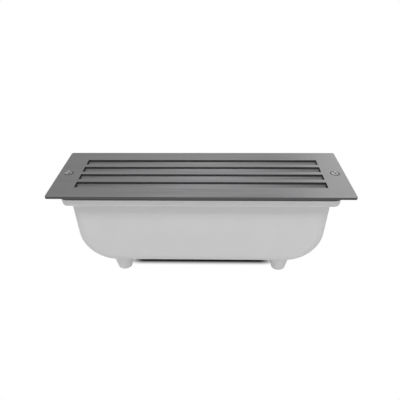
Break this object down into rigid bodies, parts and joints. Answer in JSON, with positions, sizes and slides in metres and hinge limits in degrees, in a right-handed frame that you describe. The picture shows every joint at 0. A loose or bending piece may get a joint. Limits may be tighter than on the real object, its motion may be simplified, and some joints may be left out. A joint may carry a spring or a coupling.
{
  "type": "recessed step light",
  "caption": "Recessed brick light: a louvred steel faceplate screwed over a bath-shaped moulded tub on feet, with a screw-cap lamp, reflector and terminals inside.",
  "frame": {"origin": "in the plane of the four feet's ends, under the centre of the faceplate", "axes": "+Z out of the wall, +X along the light, +Y towards the ground once mounted, which is where the louvres throw their light"},
  "size_m": [0.24, 0.08, 0.086],
  "materials": {
    "faceplate_steel": "brushed along its length",
    "blade_steel": "brushed",
    "frame_steel": "mill finish",
    "screw_steel": "turned, bright",
    "zinc_steel": "zinc plated",
    "gasket_rubber": "matt closed-cell foam",
    "seal_silicone": "matt",
    "housing_plastic": "fine moulded matt",
    "brass": "turned",
    "frosted_glass": "acid etched on the lamp side",
    "nylon": "moulded",
    "phenolic": "moulded, satin",
    "opal_glass": "opal, satin",
    "cap_aluminium": "rolled",
    "reflector_aluminium": "anodised, half gloss",
    "insulation_blue": "extruded PVC",
    "insulation_brown": "extruded PVC",
    "insulation_green": "extruded PVC",
    "grommet_rubber": "moulded"
  },
  "bodies": {
    "tub": {"housing": "housing_plastic", "screw_inserts": "brass", "rim_gasket": "gasket_rubber", "lampholder_shell": "phenolic", "lampholder_sleeve": "brass", "lampholder_contact": "brass", "lampholder_nipple": "zinc_steel", "lampholder_bracket": "zinc_steel", "bracket_screws": "zinc_steel", "reflector": "reflector_aluminium", "reflector_screws": "zinc_steel", "gear_tray": "zinc_steel", "tray_screws": "zinc_steel", "terminal_block": "nylon", "terminal_barrels": "brass", "terminal_screws": "zinc_steel", "block_screw": "zinc_steel", "earth_screw": "zinc_steel", "neutral_lead": "insulation_blue", "live_lead": "insulation_brown", "earth_lead": "insulation_green", "cable_grommet": "grommet_rubber"},
    "face": {"faceplate": "faceplate_steel", "louvre_frame": "frame_steel", "diffuser_seal": "seal_silicone", "diffuser_glass": "frosted_glass", "screw_retainers": "nylon", "louvre_blade_1": "blade_steel", "louvre_blade_2": "blade_steel", "louvre_blade_3": "blade_steel", "louvre_blade_4": "blade_steel"},
    "screw_left": {"faceplate_screw_left": "screw_steel"},
    "screw_right": {"faceplate_screw_right": "screw_steel"},
    "lamp": {"lamp_glass": "opal_glass", "lamp_cap": "cap_aluminium", "lamp_tip": "phenolic"}
  },
  "joints": [
    {"name": "face_lift", "type": "slide", "parent": "tub", "child": "face", "axis": [0, 0, 1], "range_m": [0, 0.12]},
    {"name": "screw_left_turn", "type": "hinge", "parent": "face", "child": "screw_left", "pos_m": [-0.112, 0, 0.084], "axis": [0, 0, 1], "continuous": true},
    {"name": "screw_right_turn", "type": "hinge", "parent": "face", "child": "screw_right", "pos_m": [0.112, 0, 0.084], "axis": [0, 0, 1], "continuous": true},
    {"name": "lamp_out", "type": "slide", "parent": "tub", "child": "lamp", "axis": [1, 0, 0], "range_m": [0, 0.027]}
  ]
}
